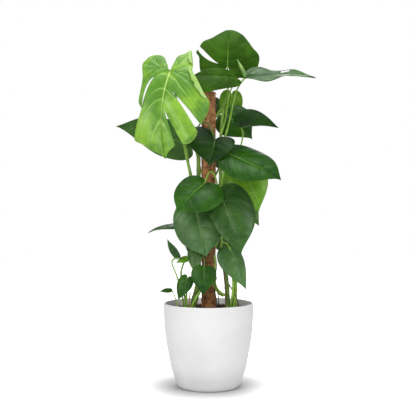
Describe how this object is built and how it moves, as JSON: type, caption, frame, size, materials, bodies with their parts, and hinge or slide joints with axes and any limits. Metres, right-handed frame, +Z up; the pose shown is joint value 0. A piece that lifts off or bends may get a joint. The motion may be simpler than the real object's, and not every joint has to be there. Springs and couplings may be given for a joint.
{
  "type": "potted monstera plant",
  "caption": "Climbing monstera with split and heart-shaped leaves on a coir pole, in a round tapered plant pot.",
  "frame": {"origin": "centre of the pot's flat underside, on the surface it stands on", "axes": "+Z up along the climbing pole; the side with most leaves faces -Y"},
  "size_m": [0.6772, 0.3888, 1.2184],
  "materials": {
    "pot": "matt white",
    "mix": "loose dark potting mix",
    "coir": "rough brown coconut fibre",
    "leaf": "satin dark green leaf",
    "young_leaf": "satin fresh green leaf",
    "stem": "smooth green stem",
    "sheath": "dry yellow-green sheath",
    "root": "rough brown aerial root"
  },
  "bodies": {
    "root": {"coir_pole": "coir", "leaf_back_lit": "young_leaf", "leaf_behind_right": "leaf", "leaf_centre_dark": "leaf", "leaf_crown": "leaf", "leaf_dark_behind": "leaf", "leaf_fresh": "young_leaf", "leaf_front_heart": "leaf", "leaf_front_left": "leaf", "leaf_front_right": "leaf", "leaf_left_olive": "leaf", "leaf_left_point": "leaf", "leaf_low_grey": "leaf", "leaf_low_heart": "leaf", "leaf_low_right": "leaf", "leaf_rear_left": "leaf", "leaf_rear_low_left": "leaf", "leaf_rear_low_right": "leaf", "leaf_rear_middle": "leaf", "leaf_rear_right": "leaf", "leaf_rear_top": "leaf", "leaf_right_fresh": "young_leaf", "leaf_right_glossy": "leaf", "leaf_right_mid": "leaf", "leaf_right_small": "leaf", "leaf_rolled": "young_leaf", "leaf_top_right": "leaf", "leaf_under_crown": "leaf", "leaf_young_left": "leaf", "leaf_young_low": "leaf", "leaf_young_tall": "leaf", "leaf_young_tiny": "leaf", "pot": "pot", "potting_mix": "mix", "root_centre": "root", "root_front": "root", "root_left": "root", "root_rear": "root", "root_right": "root", "sheath_broad": "stem", "sheath_curled": "sheath", "sheath_dry": "sheath", "sheath_left": "stem", "stem_left": "stem", "stem_rear": "stem", "stem_right": "stem"}
  },
  "joints": []
}
